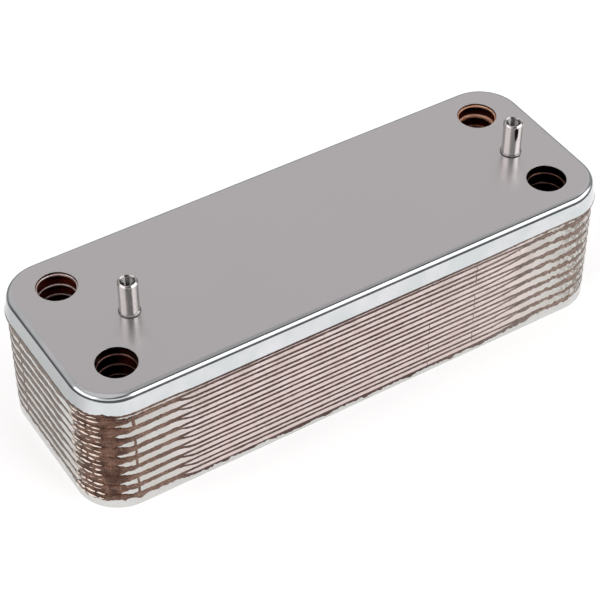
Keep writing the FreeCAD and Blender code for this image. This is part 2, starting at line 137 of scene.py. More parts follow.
class Shader:
    """Short names for the nodes that the materials, the floor and the sky share."""

    def __init__(self, tree):
        self.tree = tree
        self.tree.nodes.clear()

    def node(self, kind, **settings):
        made = self.tree.nodes.new(kind)
        for key, value in settings.items():
            setattr(made, key, value)
        return made

    def feed(self, socket, value):
        if isinstance(value, bpy.types.NodeSocket):
            self.tree.links.new(value, socket)
        else:
            socket.default_value = value

    def math(self, operation, *values, clamp=False):
        made = self.node("ShaderNodeMath", operation=operation, use_clamp=clamp)
        for socket, value in zip(made.inputs, values):
            self.feed(socket, value)
        return made.outputs[0]

    def ramp_value(self, value, low, high, to_low=0.0, to_high=1.0):
        made = self.node("ShaderNodeMapRange", interpolation_type="SMOOTHSTEP")
        for socket, given in zip(made.inputs, (value, low, high, to_low, to_high)):
            self.feed(socket, given)
        return made.outputs[0]

    def mix(self, share, first, second):
        made = self.node("ShaderNodeMix", data_type="RGBA")
        self.feed(made.inputs["Factor"], share)
        for socket, value in zip((made.inputs[6], made.inputs[7]), (first, second)):
            self.feed(socket, value if isinstance(value, bpy.types.NodeSocket) else (*value, 1.0))
        return made.outputs[2]

    def noise(self, vector, scale, detail=3.0, roughness=0.5):
        made = self.node("ShaderNodeTexNoise")
        self.feed(made.inputs["Vector"], vector)
        self.feed(made.inputs["Scale"], scale)
        self.feed(made.inputs["Detail"], detail)
        self.feed(made.inputs["Roughness"], roughness)
        return made.outputs["Fac"]

    def stretched(self, vector, factors):
        made = self.node("ShaderNodeMapping")
        self.feed(made.inputs["Vector"], vector)
        made.inputs["Scale"].default_value = factors
        return made.outputs[0]

    def parts(self, vector):
        """The x, y and z of a vector."""
        made = self.node("ShaderNodeSeparateXYZ")
        self.feed(made.inputs[0], vector)
        return made.outputs

    def length(self, vector):
        made = self.node("ShaderNodeVectorMath", operation="LENGTH")
        self.feed(made.inputs[0], vector)
        return made.outputs["Value"]

    def bump(self, height, distance, strength=1.0):
        made = self.node("ShaderNodeBump")
        self.feed(made.inputs["Height"], height)
        made.inputs["Distance"].default_value = distance
        made.inputs["Strength"].default_value = strength
        return made.outputs[0]


def new_material(name):
    """A material, its node helper, its surface's inputs and the place that its patterns follow."""
    material = bpy.data.materials.new(name)
    material.use_nodes = True
    shader = Shader(material.node_tree)
    surface = shader.node("ShaderNodeBsdfPrincipled")
    output = shader.node("ShaderNodeOutputMaterial")
    shader.feed(output.inputs["Surface"], surface.outputs[0])
    place = shader.node("ShaderNodeTexCoord").outputs["Object"]
    return material, shader, surface.inputs, place


def port_distance(shader, place):
    """How far a place is from the axis of the nearest port."""
    port = mounts["port_back_right"]["pos_m"]
    squares = []
    for part, middle in zip(shader.parts(place)[:2], port):
        away = shader.math("SUBTRACT", shader.math("ABSOLUTE", part), middle)
        squares.append(shader.math("POWER", away, 2.0))
    return shader.math("SQRT", shader.math("ADD", *squares))


def cover_steel():
    """Rolled stainless sheet: an even satin face, and bends and sides burnished by the press."""
    material, shader, surface, place = new_material("cover_steel")
    grain = shader.noise(shader.stretched(place, (25.0, 900.0, 900.0)), 4.0, 4.0)
    cloud = shader.noise(place, 28.0, 2.0)
    normal = shader.parts(shader.node("ShaderNodeNewGeometry").outputs["Normal"])
    face = shader.ramp_value(normal[2], 0.985, 0.9995)
    mottle = shader.ramp_value(shader.noise(place, 75.0, 3.0, 0.6), 0.35, 0.7)
    side = shader.mix(mottle, (0.60, 0.635, 0.64), (0.70, 0.70, 0.725))
    # Painted shade: the cover's short sides are darkened towards a darker grey.
    shaded_short_side = shader.ramp_value(shader.math("ABSOLUTE", normal[0]), 0.7, 1.0, 0.0, 0.8)
    side = shader.mix(shaded_short_side, side, (0.33, 0.35, 0.35))
    # The port hole walls have a copper red tint, darkened to near black as painted shade in the holes.
    edge = (PORT_RADIUS + 0.03) * MM, (PORT_RADIUS + 0.2) * MM
    in_port = shader.ramp_value(port_distance(shader, place), *edge, 1.0, 0.0)
    side = shader.mix(in_port, side, (0.05, 0.018, 0.015))
    tone = shader.mix(face, side, (0.655, 0.64, 0.645))
    tone = shader.mix(shader.math("MULTIPLY", cloud, 0.12), tone, (0.52, 0.52, 0.52))
    shader.feed(surface["Base Color"], tone)
    surface["Metallic"].default_value = 1.0
    burnished = 0.13
    satin = shader.math("ADD", 0.235, shader.math("MULTIPLY", grain, 0.05))
    rougher = shader.math("MULTIPLY", face, shader.math("SUBTRACT", satin, burnished))
    shader.feed(surface["Roughness"], shader.math("ADD", burnished, rougher))
    shader.feed(surface["Normal"], shader.bump(grain, 0.000004))
    return material


def channel_steel():
    """Thin pressed sheet, tinted by the braze: pinkish along the middle, greyer at the ends.

    In the ports it is copper brown, painted near black as shade in the front ports. One patch, on the right
    in the front left port, is lighter copper.
    """
    material, shader, surface, place = new_material("channel_steel")
    x, y, _ = shader.parts(place)
    along = shader.math("ABSOLUTE", x)
    blotch = shader.noise(place, 130.0, 4.0, 0.6)
    streak = shader.noise(shader.stretched(place, (1800.0, 1800.0, 500.0)), 1.0, 3.0)
    uneven = shader.math("ADD", along, shader.math("MULTIPLY", blotch, 0.02))
    pink = shader.ramp_value(uneven, 0.068, 0.092, 1.0, 0.0)
    tone = shader.mix(pink, (0.60, 0.60, 0.575), (0.74, 0.625, 0.605))
    stain = shader.ramp_value(shader.math("MULTIPLY", blotch, streak), 0.22, 0.42, 0.0, 0.4)
    tone = shader.mix(stain, tone, (0.66, 0.52, 0.44))
    speckle = shader.ramp_value(shader.noise(place, 800.0, 4.0, 0.6), 0.45, 0.54)
    right = shader.ramp_value(x, 0.078, 0.094, 0.0, 0.9)
    tone = shader.mix(shader.math("MULTIPLY", speckle, right), tone, (0.24, 0.20, 0.175))
    edge = (LAND_RADIUS + 0.8) * MM, (LAND_RADIUS + 1.8) * MM
    in_port = shader.ramp_value(port_distance(shader, place), *edge, 1.0, 0.0)
    # Painted shade: the passages of the front ports are near black; the back ports keep a copper red.
    back_row = shader.ramp_value(y, -0.01, 0.01)
    red = shader.mix(back_row, (0.055, 0.022, 0.02), (0.42, 0.17, 0.15))
    # A lighter copper patch on the right in the front left port, where the painted shade is left off.
    past_axis = shader.math("SUBTRACT", x, mounts["port_front_left"]["pos_m"][0])
    lighter_patch = shader.ramp_value(past_axis, 0.003, 0.006)
    lighter_patch = shader.math("MULTIPLY", lighter_patch, shader.ramp_value(x, -0.078, -0.076, 1.0, 0.0))
    red = shader.mix(lighter_patch, red, (0.50, 0.24, 0.15))
    red = shader.mix(shader.ramp_value(blotch, 0.56, 0.66, 0.0, 0.6), red, (0.62, 0.33, 0.24))
    shader.feed(surface["Base Color"], shader.mix(in_port, tone, red))
    surface["Metallic"].default_value = 1.0
    shader.feed(surface["Roughness"], shader.ramp_value(blotch, 0.3, 0.7, 0.26, 0.42))
    shader.feed(surface["Normal"], shader.bump(streak, 0.00003, 0.6))
    return material


def weathered_with_painted_shade(shader, place, tone):
    """The outside copper's colour: darker along the middle, as painted shade under the skirts' edges, greyer
    to the right and at the ends.
    """
    x = shader.parts(place)[0]
    along = shader.math("ABSOLUTE", x)
    # Painted shade: along the middle, the copper under each skirt's edge is darkened.
    tone = shader.mix(shader.ramp_value(along, 0.066, 0.080, 0.75, 0.0), tone, (0.105, 0.066, 0.062))
    tone = shader.mix(shader.ramp_value(x, 0.015, 0.070, 0.0, 0.7), tone, (0.34, 0.28, 0.245))
    tone = shader.mix(shader.ramp_value(along, 0.1029, 0.1034, 0.0, 0.75), tone, (0.27, 0.23, 0.20))
    near_corner = shader.math(
        "MULTIPLY",
        shader.ramp_value(along, 0.068, 0.078),
        shader.ramp_value(along, 0.088, 0.094, 1.0, 0.0),
    )
    return shader.mix(shader.math("MULTIPLY", near_corner, 0.4), tone, (0.42, 0.28, 0.22))


def braze_copper(name, dark, light, polish, outside=False):
    """Melted copper, dull where it has oxidised and brighter where it ran smooth.

    The copper outside is sooty and weathered as well, and darker along the middle as painted shade; the
    copper in the ports is cleaner.
    """
    material, shader, surface, place = new_material(name)
    patch = shader.noise(place, 260.0, 5.0, 0.62)
    grit = shader.noise(place, 1500.0, 4.0, 0.6)
    tone = shader.mix(shader.ramp_value(patch, 0.34, 0.68), dark, light)
    if outside:
        tone = weathered_with_painted_shade(shader, place, tone)
    fleck = shader.ramp_value(shader.noise(place, 2600.0, 2.0), 0.60, 0.70, 0.0, 0.5)
    tone = shader.mix(fleck, tone, (0.62, 0.47, 0.39))
    soot = shader.ramp_value(grit, 0.35, 0.65, 0.6 if outside else 0.25, 0.0)
    shader.feed(surface["Base Color"], shader.mix(soot, tone, (0.05, 0.026, 0.019)))
    surface["Metallic"].default_value = 0.92 if outside else 0.6
    shader.feed(surface["Roughness"], shader.ramp_value(patch, 0.3, 0.7, polish + 0.17, polish))
    height = shader.math("ADD", shader.math("MULTIPLY", patch, 0.7), shader.math("MULTIPLY", grit, 0.3))
    shader.feed(surface["Normal"], shader.bump(height, 0.00022))
    return material


def crest_copper():
    """The smooth crests that shine on the melted copper."""
    material, shader, surface, place = new_material("crest_copper")
    patch = shader.noise(place, 900.0, 3.0)
    shader.feed(surface["Base Color"], shader.mix(patch, (1.0, 0.91, 0.84), (0.80, 0.65, 0.55)))
    surface["Metallic"].default_value = 1.0
    shader.feed(surface["Roughness"], shader.ramp_value(patch, 0.3, 0.7, 0.12, 0.28))
    return material


def back_steel():
    """Rolled sheet, a little blotched by the furnace."""
    material, shader, surface, place = new_material("back_steel")
    blotch = shader.noise(place, 90.0, 4.0, 0.6)
    grain = shader.noise(shader.stretched(place, (25.0, 700.0, 700.0)), 4.0, 4.0)
    shader.feed(surface["Base Color"], shader.mix(blotch, (0.70, 0.70, 0.69), (0.60, 0.59, 0.575)))
    surface["Metallic"].default_value = 1.0
    shader.feed(surface["Roughness"], shader.ramp_value(grain, 0.3, 0.7, 0.24, 0.36))
    shader.feed(surface["Normal"], shader.bump(grain, 0.000012))
    return material


def stud_steel():
    """Turned bright steel: fine rings round the axis stretch each reflection along the post.

    The bore is darker, as painted shade.
    """
    material, shader, surface, place = new_material("stud_steel")
    rings = shader.noise(shader.stretched(place, (40.0, 40.0, 6000.0)), 1.0, 2.0)
    away = []
    for side in ("left", "right"):
        offset = shader.node("ShaderNodeVectorMath", operation="SUBTRACT")
        shader.feed(offset.inputs[0], shader.stretched(place, (1.0, 1.0, 0.0)))
        offset.inputs[1].default_value = (*mounts[f"stud_thread_{side}"]["pos_m"][:2], 0.0)
        away.append(shader.length(offset.outputs[0]))
    # Painted shade: inside the bore the steel is darkened towards a dark grey.
    edge = (THREAD_OUTER + 0.02) * MM, (THREAD_OUTER + 0.27) * MM
    bore = shader.ramp_value(shader.math("MINIMUM", *away), *edge, 1.0, 0.0)
    tone = shader.mix(rings, (0.64, 0.605, 0.595), (0.55, 0.52, 0.51))
    shader.feed(surface["Base Color"], shader.mix(bore, tone, (0.20, 0.19, 0.19)))
    surface["Metallic"].default_value = 1.0
    surface["Anisotropic"].default_value = 0.85
    surface["Anisotropic Rotation"].default_value = 0.25
    shader.feed(surface["Roughness"], shader.ramp_value(rings, 0.3, 0.7, 0.09, 0.14))
    tangent = shader.node("ShaderNodeTangent", direction_type="RADIAL", axis="Z")
    shader.feed(surface["Tangent"], tangent.outputs[0])
    return material


def weld_steel():
    """Bright rippled weld metal."""
    material, shader, surface, place = new_material("weld_steel")
    ripple = shader.noise(place, 900.0, 3.0)
    shader.feed(surface["Base Color"], shader.mix(ripple, (0.50, 0.47, 0.47), (0.22, 0.20, 0.205)))
    surface["Metallic"].default_value = 1.0
    shader.feed(surface["Roughness"], shader.ramp_value(ripple, 0.3, 0.7, 0.1, 0.24))
    shader.feed(surface["Normal"], shader.bump(ripple, 0.00008, 0.7))
    return material


COVER = cover_steel()
CHANNEL = channel_steel()
BRAZE = braze_copper("braze_copper", (0.085, 0.038, 0.026), (0.26, 0.135, 0.092), 0.34, outside=True)
BRIGHT_BRAZE = crest_copper()
# Partly copper colour, partly painted highlight: the back left port's copper is paled nearly to white so its
# arcs shine brighter.
PORT_BRAZE = braze_copper("port_copper", (0.78, 0.52, 0.48), (1.0, 0.90, 0.87), 0.24)
RED_PORT_BRAZE = braze_copper("port_copper_red", (0.88, 0.40, 0.24), (1.0, 0.66, 0.46), 0.5)
# Painted shade: the copper in the front ports is a much darker copy of the port copper.
SHADED_PORT_BRAZE = braze_copper("port_copper_shaded", (0.10, 0.035, 0.028), (0.34, 0.16, 0.13), 0.22)
BACK = back_steel()
STUD = stud_steel()
WELD = weld_steel()

SLOT_MATERIALS = {
    "cover_steel": COVER,
    "channel_steel": CHANNEL,
    "braze_copper": BRAZE,
    "back_steel": BACK,
    "stud_steel": STUD,
    "weld_steel": WELD,
}
for part in frame["record"]["subparts"]:
    nodes[part["node"]].data.materials[0] = SLOT_MATERIALS[part["material_slot"]]


# ---------------------------------------------------------------- copper along the skirts


STRAIGHT_LONG = 2 * (HALF_LENGTH - CORNER)
STRAIGHT_SHORT = 2 * (HALF_WIDTH - CORNER)
ARC = CORNER * math.pi / 2
AROUND = 2 * (STRAIGHT_LONG + STRAIGHT_SHORT) + 4 * ARC

# The outline of the channel plates runs counterclockwise from the left end of the front long side, as four
# legs: each is a straight and the corner after it, given by where it starts, its straight's length and its
# corner's centre.
LEGS = (
    (0.0, STRAIGHT_LONG, (STRAIGHT_LONG / 2, -STRAIGHT_SHORT / 2)),
    (STRAIGHT_LONG + ARC, STRAIGHT_SHORT, (STRAIGHT_LONG / 2, STRAIGHT_SHORT / 2)),
    (AROUND / 2, STRAIGHT_LONG, (-STRAIGHT_LONG / 2, STRAIGHT_SHORT / 2)),
    (AROUND / 2 + STRAIGHT_LONG + ARC, STRAIGHT_SHORT, (-STRAIGHT_LONG / 2, -STRAIGHT_SHORT / 2)),
)


def on_outline(distance):
    """The outline's x and y, and its outward normal, at distances along it."""
    distance = np.asarray(distance, float) % AROUND
    x, y, normal_x, normal_y = (np.zeros_like(distance) for _ in range(4))
    for number, (start, run, centre) in enumerate(LEGS):
        local = distance - start
        here = (local >= 0) & (local < run + ARC)
        facing = math.radians(90 * number - 90)
        angle = facing + np.clip(local - run, 0, ARC) / CORNER
        short = np.clip(run - local, 0, run)
        normal_x = np.where(here, np.cos(angle), normal_x)
        normal_y = np.where(here, np.sin(angle), normal_y)
        x = np.where(here, centre[0] + CORNER * np.cos(angle) + short * math.sin(facing), x)
        y = np.where(here, centre[1] + CORNER * np.sin(angle) - short * math.cos(facing), y)
    return x, y, normal_x, normal_y


def stations(fine, coarse, reach=30.0):
    """Distances along the outline, close together at the ends and further apart along the middle."""
    rows = []
    for start, run, _ in LEGS:
        near = min(reach, run / 2)
        rows.append(start + np.arange(0, near, fine))
        rows.append(start + np.arange(near, run - near, coarse))
        rows.append(start + run - near + np.arange(0, near + ARC, fine))
    return np.concatenate(rows)


ALONG = stations(fine=0.35, coarse=0.6)
LINE_X, LINE_Y, NORMAL_X, NORMAL_Y = on_outline(ALONG)


def s_curve(value, low, high):
    """0 to 1 over two equal arcs, as the skirts' edges change level."""
    t = np.clip((value - low) / (high - low), 0, 1)
    return np.where(t < 0.5, 2 * t * t, 1 - 2 * (1 - t) ** 2)


ENDS = 1 - s_curve(LINE_X, *LEFT_BEND) + s_curve(LINE_X, *RIGHT_BEND)


def skirt_edge(number):
    """Height of a skirt's lower edge all round: 0 is the front cover, 19 the back cover."""
    if number == 0:
        return np.full_like(ALONG, COVER_EDGE)
    if number > PLATES:
        return np.zeros_like(ALONG)
    odd = number % 2
    return COVER_EDGE - PITCH * number + MIDDLE_STEP[odd] * (1 - ENDS) + END_STEP[odd] * ENDS


def skirt_offset(number, height):
    """How far a skirt's outer face stands outside the outline at a height."""
    grow = (GAP + COVER_SHEET) / math.cos(LEAN) if number == 0 else 0.0
    level = FIRST_LEVEL - (max(number, 1) - 1) * PITCH
    return grow + (level - height) * math.tan(LEAN)


def around_from(start, forwards=True):
    """Distance along the outline from a place on it, from half the length before it to half after it."""
    distance = (ALONG - start) if forwards else (start - ALONG)
    return (distance + AROUND / 2) % AROUND - AROUND / 2


# Each corner's distance runs from where its long side ends, round the corner, towards its short side.
CORNER_DISTANCE = {
    "front_left": around_from(0.0, forwards=False),
    "front_right": around_from(STRAIGHT_LONG),
    "back_right": around_from(STRAIGHT_LONG + ARC + STRAIGHT_SHORT + ARC, forwards=False),
    "back_left": around_from(2 * STRAIGHT_LONG + 2 * ARC + STRAIGHT_SHORT),
}


def corner_mask():
    """Where copper hides the bands round the corners."""
    solid = np.zeros_like(ALONG)
    ragged = 0.9 * wander(11, ALONG, AROUND, 0.8) + 0.7 * wander(12, ALONG, AROUND, 2.6)
    for name, closed in (("front_left", 1.0), ("front_right", 0.0), ("back_right", 0.6), ("back_left", 0.3)):
        distance = CORNER_DISTANCE[name] + ragged
        taper = smooth_step(distance, -1.0, 9.6) ** 1.1
        solid = np.maximum(solid, closed * taper * (1 - smooth_step(distance, 20.5, 23.5)))
    return solid


SOLID = corner_mask()
SHORT_SIDE = smooth_step(np.abs(NORMAL_X), 0.9, 1.0)
RIGHT_END = smooth_step(LINE_X, 62.0, 86.0)
LEFT_END = smooth_step(-LINE_X, 64.0, 84.0)
BARE_CORNER = 1 - smooth_step(np.abs(CORNER_DISTANCE["front_left"] - ARC - 1.0), 3.0, 10.0)


def round_corner(name):
    """1 round a corner, and down to 0 a little way before and after it."""
    distance = CORNER_DISTANCE[name]
    return smooth_step(distance, -9.0, 2.0) * (1 - smooth_step(distance, 18.0, 26.0))


WAVY = round_corner("front_right") + round_corner("back_left")  # the corners whose bands wave up and down
HIDDEN = 0.35  # how far below a skirt's edge its own overhang hides the next skirt, seen from above
HIDDEN_BY_COVER = 1.05  # the same for the front cover's thicker edge


def laps(number, fine, mid, slow, wave):
    """How far the copper laps below and above a skirt's edge, all round.

    Each is a plain width with fine, middling and slow wandering added. It goes from one width along the
    middle of the long sides to another at the ends, and on to the solid copper at the corners.
    """
    edge = skirt_edge(number)
    room_below = edge - skirt_edge(number + 1)
    room_above = (skirt_edge(number - 1) - edge) if number else np.full_like(ALONG, 2.0)
    odd = number % 2 == 1
    hidden = HIDDEN if number else HIDDEN_BY_COVER
    middle_down = hidden + 0.84 + 0.07 * fine + 0.07 * mid + 0.07 * slow
    middle_up = 0.06 + 0.04 * fine
    ragged = RIGHT_END * (0.14 + 0.36 * fine + 0.2 * mid)
    if odd:
        end_down = np.minimum(room_below, 1.12)
        end_up = 0.36 + 0.24 * LEFT_END + 0.12 * mid + 0.12 * fine + 0.45 * wave + ragged
    else:
        end_down = hidden + 0.32 + 0.22 * LEFT_END + 0.12 * mid + 0.14 * fine + 0.08 * slow
        end_down = end_down + 0.45 * wave + ragged
        end_up = 0.5 + 0.1 * mid
    down = middle_down * (1 - ENDS) + end_down * ENDS
    up = middle_up * (1 - ENDS) + end_up * ENDS
    torn = 0.16 * SOLID * (1 - SOLID) * 4 * (fine + mid)
    if odd:
        up = up + SOLID * np.maximum(0.5 * room_above - up, 0) + torn
    else:
        down = down + SOLID * np.maximum(0.62 * room_below - down, 0) + torn
        lip = 1.65 + 0.25 * mid + 0.2 * fine + 1.1 * BARE_CORNER
        down = down + SHORT_SIDE * (1 - SOLID) * np.maximum(room_below - lip - down, 0)
    if number == 0:
        up = up + SOLID * (0.35 + 0.35 * fine + 0.3 * mid)
    if number == PLATES:
        down = hidden + 1.2 + 0.4 * mid + 0.4 * fine + 0.25 * slow - 0.1 * ENDS * (1 + 5 * RIGHT_END)
    return np.clip(down, 0.12, room_below - 0.02), np.clip(up, 0.03, room_above * 0.9)


def skirt_bead(number):
    """The copper that ran along one skirt's edge: a fillet in the step, lapping up and down the sheets."""
    edge = skirt_edge(number)
    seed = 1000 * (number + 1)
    fine = wander(seed + 1, ALONG, AROUND, 0.9)
    mid = wander(seed + 2, ALONG, AROUND, 3.2)
    slow = wander(seed + 3, ALONG, AROUND, 22.0)
    wave = wander(seed + 5, ALONG, AROUND, 5.0) * WAVY
    down, up = laps(number, fine, mid, slow, wave)
    bulge = 0.10 + 0.05 * mid + 0.04 * fine + 0.05 * ENDS
    film = 0.05 + 0.02 * fine + 0.02 * ENDS
    near = np.minimum(down, 1.0)

    def outer(height):
        return skirt_offset(number, height)

    def inner(height):
        return skirt_offset(number + 1, height)

    step = outer(edge) - inner(edge)
    # Each point's offset from the outline and its height, from the upper edge to the lower and back inside.
    section = (
        (outer(edge + up) - 0.02, edge + up),
        (outer(edge + 0.55 * up) + film * 0.8, edge + 0.55 * up),
        (outer(edge) + film, edge + 0.02),
        (outer(edge) - 0.12 * step + 0.5 * bulge, edge - 0.16 * near),
        (inner(edge) + 0.5 * step + 0.5 * bulge, edge - 0.38 * near),
        (inner(edge - 0.66 * near) + film + 0.3 * bulge, edge - 0.66 * near),
        (inner(edge - 0.93 * down) + film * 0.8, edge - 0.93 * down),
        (inner(edge - down) - 0.02, edge - down),
        (inner(edge - 0.5 * down) - 0.06, edge - 0.5 * down),
        (outer(edge + 0.5 * up) - 0.2, edge + 0.5 * up),
    )
    points = np.empty((len(ALONG), len(section), 3))
    for column, (offset, height) in enumerate(section):
        points[:, column, 0] = LINE_X + NORMAL_X * offset
        points[:, column, 1] = LINE_Y + NORMAL_Y * offset
        points[:, column, 2] = height
    faces = grid_faces(len(ALONG), len(section), True, True)
    name = f"braze_bead_{number + 1:02d}"
    new_piece(name, points.reshape(-1, 3), faces, BRAZE, SMOOTH)


for skirt in range(PLATES + 1):
    skirt_bead(skirt)


def patch_on_skirt(number, distance, height, lift):
    """A closed patch of copper on a skirt, as points and faces: its back is sunk in the sheet."""
    lift = np.concatenate([lift, np.full_like(lift, -0.1)], axis=1)
    distance = np.concatenate([distance, distance[:, ::-1]], axis=1)
    height = np.concatenate([height, height[:, ::-1]], axis=1)
    x, y, normal_x, normal_y = on_outline(distance)
    offset = skirt_offset(number, height) + lift
    points = np.stack([x + normal_x * offset, y + normal_y * offset, height], axis=-1)
    rows, columns = distance.shape
    faces = grid_faces(rows, columns, False, True)
    faces.append(tuple(reversed(range(columns))))
    faces.append(tuple((rows - 1) * columns + i for i in range(columns)))
    return points.reshape(-1, 3), faces


def joined(parts):
    """Several sets of points and faces as one."""
    points, faces, base = [], [], 0
    for some_points, some_faces in parts:
        points.append(some_points)
        faces += [tuple(base + i for i in face) for face in some_faces]
        base += len(some_points)
    return np.concatenate(points), faces


def edges_at(distance):
    """The heights of all the skirts' edges at one place on the outline, from the front cover down."""
    return [float(np.interp(distance % AROUND, ALONG, skirt_edge(number))) for number in range(PLATES + 2)]


def upright_run(name, place, half, reach, seed):
    """Copper that ran down across the skirts; reach is the share of the bands it crosses."""
    random = np.random.default_rng(seed)
    edges = edges_at(place)
    parts = []
    for number in range(1, PLATES + 1):
        if random.random() > reach:
            continue
        height = np.linspace(edges[number - 1] + 0.1, edges[number], 9)
        sway = 0.5 * half * wander(seed, height, edges[0] + 5, 1.1)
        swell = 1 + 0.45 * wander(seed + 1, height, edges[0] + 5, 0.9)
        across = np.array([-1.0, -0.6, 0.0, 0.6, 1.0])[:, None]
        distance = place + sway[None, :] + half * across * swell[None, :]
        lift = np.broadcast_to(np.array([-0.03, 0.07, 0.12, 0.07, -0.03])[:, None], distance.shape)
        parts.append(patch_on_skirt(number, distance, np.broadcast_to(height, distance.shape), lift))
    points, faces = joined(parts)
    new_piece(name, points, faces, BRAZE, SMOOTH)


UPRIGHT_RUNS = (  # name, distance along the outline, half its width, share of the bands
    ("copper_run_front_left", -0.6, 0.42, 0.8),
    ("copper_run_front_middle", STRAIGHT_LONG / 2 + 27.0, 0.13, 0.5),
    ("copper_run_front_right", STRAIGHT_LONG / 2 + 46.0, 0.13, 0.5),
    ("copper_run_left", AROUND - ARC - STRAIGHT_SHORT / 2 - 16.4, 0.45, 1.0),
    ("copper_run_back_left", AROUND / 2 + STRAIGHT_LONG - 3.0, 0.45, 0.8),
    ("copper_run_back_right", AROUND / 2 + 0.6, 0.45, 1.0),
)
for index, (name, place, half, reach) in enumerate(UPRIGHT_RUNS):
    upright_run(name, place, half, reach, 601 + index)


CRESTS_FROM = 11.6  # distances from the end of the long side, round the corner
CRESTS_TO = ARC - 0.8


def corner_crests():
    """The shining crests on the copper that fills the bands at the front left corner."""
    random = np.random.default_rng(77)
    parts = []
    for row in range(PLATES):
        place = CRESTS_FROM + random.uniform(-0.6, 0.6)
        while place < CRESTS_TO:
            length = random.uniform(1.5, 4.4)
            step = np.linspace(0, 1, 18)
            along = AROUND - (place + length * step)
            edges = edges_at(along[0])
            middle = COVER_EDGE - 1.5 - PITCH * row + random.uniform(-0.24, 0.24)
            middle = middle + 0.26 * wander(78, along, AROUND, 2.2)
            middle = middle + 0.1 * wander(90 + row, along, AROUND, 1.2)
            half = (0.06 + 0.27 * np.sin(math.pi * step) ** 0.5) * random.uniform(0.6, 1.25)
            number = next(i for i, edge in enumerate(edges) if edge < middle.mean() or i == PLATES)
            across = np.array([1.0, 0.5, 0.0, -0.5, -1.0])
            height = middle[:, None] + half[:, None] * across[None, :]
            lift = 0.24 + 0.22 * (1 - across[None, :] ** 2) * np.sin(math.pi * step)[:, None]
            distance = np.broadcast_to(along[:, None], height.shape)
            parts.append(patch_on_skirt(number, distance[::-1], height[::-1], lift[::-1]))
            place += length + random.uniform(0.1, 0.7)
    points, faces = joined(parts)
    new_piece("copper_crests_front_left", points, faces, BRIGHT_BRAZE, SMOOTH)


corner_crests()


# ---------------------------------------------------------------- copper rings in the ports


RING_HALF_WIDTH = 0.23
RING_HALF_HEIGHT = 0.34
EXTRA_SWELL = 1.6  # how much thicker a ring is where more copper gathered


def ring_tube(centre, radius, height, half_width, half_height, turn, section=8):
    """A tube bent into a level ring, as points and faces. Its sizes may change round the ring."""
    tube = np.empty((len(turn), section, 3))
    for column in range(section):
        angle = 2 * math.pi * column / section
        out = radius + half_width * math.cos(angle)
        tube[:, column, 0] = centre[0] + out * np.cos(turn)
        tube[:, column, 1] = centre[1] + out * np.sin(turn)
        tube[:, column, 2] = height + half_height * math.sin(angle)
    return tube.reshape(-1, 3), grid_faces(len(turn), section, True, True)


def port_rings(name, centre, heights, material, thick, seed):
    """The copper round the rims of the lands in one port passage: an irregular ring for each joint.

    Thick is the number of a joint where more copper gathered, or None.
    """
    turn = full_turn(72)
    parts = []
    for number, height in enumerate(heights):
        swell = 1.2 + 0.35 * wander(seed + number, turn, 2 * math.pi, 0.5)
        if number == thick:
            swell = swell + EXTRA_SWELL
        droop = 0.12 * wander(seed + 50 + number, turn, 2 * math.pi, 0.8)
        half_width, half_height = -RING_HALF_WIDTH * swell, RING_HALF_HEIGHT * swell
        parts.append(ring_tube(centre, RIM_RADIUS + 0.06, height + droop, half_width, half_height, turn))
    points, faces = joined(parts)
    new_piece(name, points, faces, material, SMOOTH)


def port_edge(name, centre, radius):
    """The rounded edge of a port hole in the front cover."""
    thickness = 0.11
    points, faces = ring_tube(centre, radius + 0.03, COVER_FACE - 0.07, thickness, thickness, full_turn(96))
    new_piece(name, points, faces, STUD, SMOOTH)


BACK_JOINTS = [FIRST_LEVEL + LAND + GAP / 2 - 2 * PITCH * i for i in range(PLATES // 2 + 1)]
FRONT_JOINTS = [FIRST_LEVEL - LAND - GAP / 2 - 2 * PITCH * i for i in range(PLATES // 2)]
PORTS = (
    ("port_back_left", BACK_JOINTS, PORT_BRAZE, None),
    ("port_back_right", BACK_JOINTS, RED_PORT_BRAZE, 1),
    ("port_front_left", FRONT_JOINTS, SHADED_PORT_BRAZE, None),
    ("port_front_right", FRONT_JOINTS, SHADED_PORT_BRAZE, None),
)
for index, (port, joints, copper, thick) in enumerate(PORTS):
    spot = [value / MM for value in mounts[port]["pos_m"]]
    port_rings(f"{port}_copper", spot, joints, copper, thick, 7000 + 200 * index)
    port_edge(f"{port}_edge", spot, mounts[port]["dims"]["r_mm"])


# ---------------------------------------------------------------- studs


STUD_RADIUS = 3.5
STUD_CHAMFER = 0.6
BORE_DEPTH = 11.5
THREAD_PITCH = 0.8
THREAD_STEP = 0.1  # the height between two rings of points in the bore


def turned_piece(name, node, rings, material, closed=False):
    """A turned part from rings of points; a face closes each end unless the rings close on themselves."""
    around = rings[0].shape[0]
    points = np.concatenate(rings)
    faces = grid_faces(len(rings), around, closed, True)
    if not closed:
        faces.append(tuple(range(around)))
        last = (len(rings) - 1) * around
        faces.append(tuple(last + i for i in reversed(range(around))))
    piece = new_piece(name, points, [tuple(reversed(face)) for face in faces], material)
    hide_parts(node)


def ring_at(centre, radius, height, turn):
    """One ring of points; the radius and the height may change round it."""
    radius = np.broadcast_to(radius, turn.shape)
    height = np.broadcast_to(height, turn.shape)
    return np.stack([centre[0] + radius * np.cos(turn), centre[1] + radius * np.sin(turn), height], axis=1)


